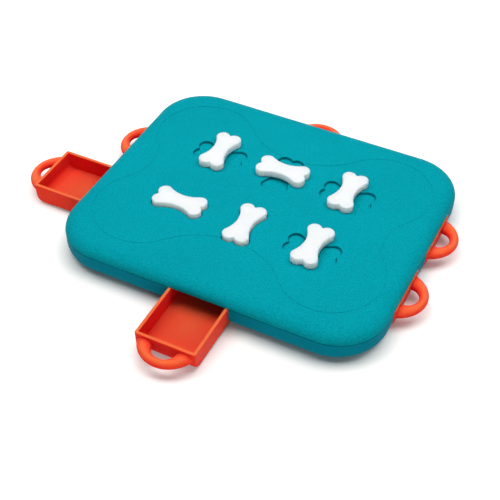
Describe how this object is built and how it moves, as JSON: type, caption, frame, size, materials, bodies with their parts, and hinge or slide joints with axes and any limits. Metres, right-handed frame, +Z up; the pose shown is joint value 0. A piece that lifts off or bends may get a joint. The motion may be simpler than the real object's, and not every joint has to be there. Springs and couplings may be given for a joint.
{
  "type": "interactive dog toy",
  "caption": "Flat rounded treat board with loop-handled drawers sliding out round its edge and bone-shaped turning knobs on top that lock them.",
  "frame": {"origin": "centre of the board's underside, on the plane of its flat resting face", "axes": "+X along the board's long side, +Y towards the back long side, +Z up out of the top"},
  "size_m": [0.4388, 0.3858, 0.043],
  "materials": {
    "teal_composite": "fine speckled satin",
    "orange_plastic": "satin",
    "white_plastic": "satin",
    "steel": "bright",
    "rubber": "matte"
  },
  "bodies": {
    "board": {"top_shell": "teal_composite", "base": "teal_composite", "case_screws": "steel", "foot_pads": "rubber"},
    "left_back_drawer": {"left_back_drawer": "orange_plastic"},
    "left_back_bone": {"left_back_bone": "white_plastic", "left_back_lock_wing": "white_plastic", "left_back_wing_screw": "steel"},
    "left_front_drawer": {"left_front_drawer": "orange_plastic"},
    "left_front_bone": {"left_front_bone": "white_plastic", "left_front_lock_wing": "white_plastic", "left_front_wing_screw": "steel"},
    "right_back_drawer": {"right_back_drawer": "orange_plastic"},
    "right_back_bone": {"right_back_bone": "white_plastic", "right_back_lock_wing": "white_plastic", "right_back_wing_screw": "steel"},
    "right_front_drawer": {"right_front_drawer": "orange_plastic"},
    "right_front_bone": {"right_front_bone": "white_plastic", "right_front_lock_wing": "white_plastic", "right_front_wing_screw": "steel"},
    "front_drawer": {"front_drawer": "orange_plastic"},
    "front_bone": {"front_bone": "white_plastic", "front_lock_wing": "white_plastic", "front_wing_screw": "steel"},
    "back_drawer": {"back_drawer": "orange_plastic"},
    "back_bone": {"back_bone": "white_plastic", "back_lock_wing": "white_plastic", "back_wing_screw": "steel"}
  },
  "joints": [
    {"name": "left_back_drawer_slide", "type": "slide", "parent": "board", "child": "left_back_drawer", "axis": [-1, 0, 0], "range_m": [0, 0.07]},
    {"name": "left_back_bone_turn", "type": "hinge", "parent": "board", "child": "left_back_bone", "pos_m": [-0.0724, 0.04365, 0], "axis": [0, 0, 1], "range_deg": [-90, 90]},
    {"name": "left_front_drawer_slide", "type": "slide", "parent": "board", "child": "left_front_drawer", "axis": [-1, 0, 0], "range_m": [-0.057, 0.013]},
    {"name": "left_front_bone_lift", "type": "slide", "parent": "board", "child": "left_front_bone", "axis": [0, 0, 1], "range_m": [0, 0.0028]},
    {"name": "right_back_drawer_slide", "type": "slide", "parent": "board", "child": "right_back_drawer", "axis": [1, 0, 0], "range_m": [0, 0.07]},
    {"name": "right_back_bone_turn", "type": "hinge", "parent": "board", "child": "right_back_bone", "pos_m": [0.0724, 0.04365, 0], "axis": [0, 0, 1], "range_deg": [-90, 90]},
    {"name": "right_front_drawer_slide", "type": "slide", "parent": "board", "child": "right_front_drawer", "axis": [1, 0, 0], "range_m": [0, 0.07]},
    {"name": "right_front_bone_turn", "type": "hinge", "parent": "board", "child": "right_front_bone", "pos_m": [0.0724, -0.04365, 0], "axis": [0, 0, 1], "range_deg": [-90, 90]},
    {"name": "front_drawer_slide", "type": "slide", "parent": "board", "child": "front_drawer", "axis": [0, -1, 0], "range_m": [-0.0616, 0.0084]},
    {"name": "front_bone_lift", "type": "slide", "parent": "board", "child": "front_bone", "axis": [0, 0, 1], "range_m": [0, 0.0028]},
    {"name": "back_drawer_slide", "type": "slide", "parent": "board", "child": "back_drawer", "axis": [0, 1, 0], "range_m": [0, 0.07]},
    {"name": "back_bone_turn", "type": "hinge", "parent": "board", "child": "back_bone", "pos_m": [0, 0.04365, 0], "axis": [0, 0, 1], "range_deg": [-90, 90]}
  ]
}
